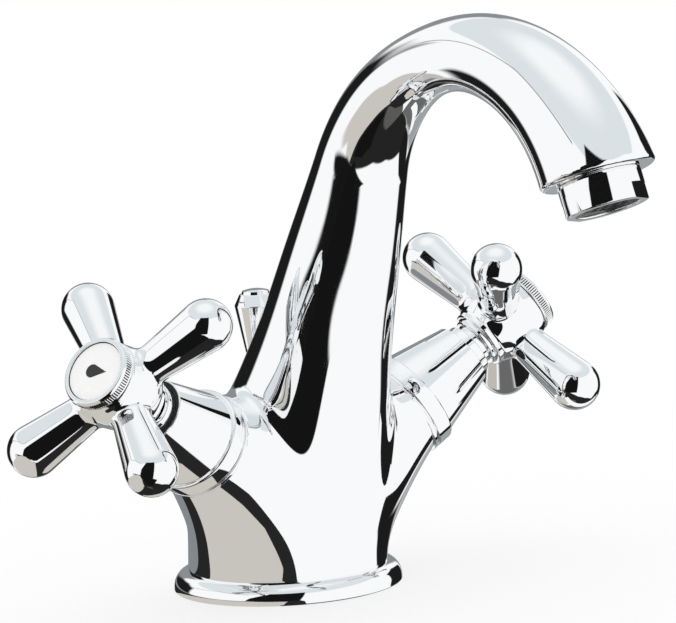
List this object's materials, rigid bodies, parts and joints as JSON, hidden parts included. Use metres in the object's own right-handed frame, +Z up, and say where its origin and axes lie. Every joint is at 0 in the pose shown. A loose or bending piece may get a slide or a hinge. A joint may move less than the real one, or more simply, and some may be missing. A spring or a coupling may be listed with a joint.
{
  "type": "basin mixer tap",
  "caption": "Chromed basin mixer tap with an arched spout, cross handles on raised valve arms and a pop-up lift rod, on a round base ring.",
  "frame": {"origin": "centre of the base ring's underside, where the tap stands on the basin", "axes": "+Z up, -Y towards the spout's outlet and the user, +X towards the cold handle"},
  "size_m": [0.1625, 0.1622, 0.1453],
  "materials": {
    "chrome": "bright polished chrome plate on cast and turned brass",
    "brass": "machined bare brass",
    "rubber": "matt black moulded rubber",
    "fibre": "matt red-brown sealing fibre",
    "ceramic": "lapped white alumina ceramic",
    "steel": "plain stainless steel",
    "plastic": "off-white moulded acetal",
    "index": "glossy white moulded disc"
  },
  "bodies": {
    "tap_body": {"aerator_housing": "chrome", "aerator_insert": "plastic", "aerator_screen": "steel", "aerator_washer": "rubber", "base_gasket": "rubber", "base_ring": "chrome", "body": "chrome", "left_bonnet_cover": "chrome", "left_fixed_disc": "ceramic", "left_headwork_body": "brass", "left_headwork_washer": "fibre", "left_seat_seal": "rubber", "right_bonnet_cover": "chrome", "right_fixed_disc": "ceramic", "right_headwork_body": "brass", "right_headwork_washer": "fibre", "right_seat_seal": "rubber", "rod_bush": "brass", "rod_seal": "rubber"},
    "left_handle_set": {"left_spindle": "brass", "left_moving_disc": "ceramic", "left_spindle_seals": "rubber", "left_circlip": "steel", "left_thrust_washer": "plastic", "left_handle": "chrome", "left_handle_screw": "steel", "left_index_cap": "chrome", "left_index_disc": "index"},
    "right_handle_set": {"right_spindle": "brass", "right_moving_disc": "ceramic", "right_spindle_seals": "rubber", "right_circlip": "steel", "right_thrust_washer": "plastic", "right_handle": "chrome", "right_handle_screw": "steel", "right_index_cap": "chrome", "right_index_disc": "index"},
    "lift_set": {"lift_rod": "chrome", "lift_knob": "chrome"}
  },
  "joints": [
    {"name": "left_handle_turn", "type": "hinge", "parent": "tap_body", "child": "left_handle_set", "pos_m": [-0.0608, -0.01606, 0.05945], "axis": [-0.8184, -0.1919, 0.5417], "range_deg": [0, 90]},
    {"name": "right_handle_turn", "type": "hinge", "parent": "tap_body", "child": "right_handle_set", "pos_m": [0.0608, -0.01606, 0.05945], "axis": [0.8184, -0.1919, 0.5417], "range_deg": [-90, 0]},
    {"name": "lift_rod_slide", "type": "slide", "parent": "tap_body", "child": "lift_set", "axis": [0, 0, 1], "range_m": [0, 0.02]}
  ]
}
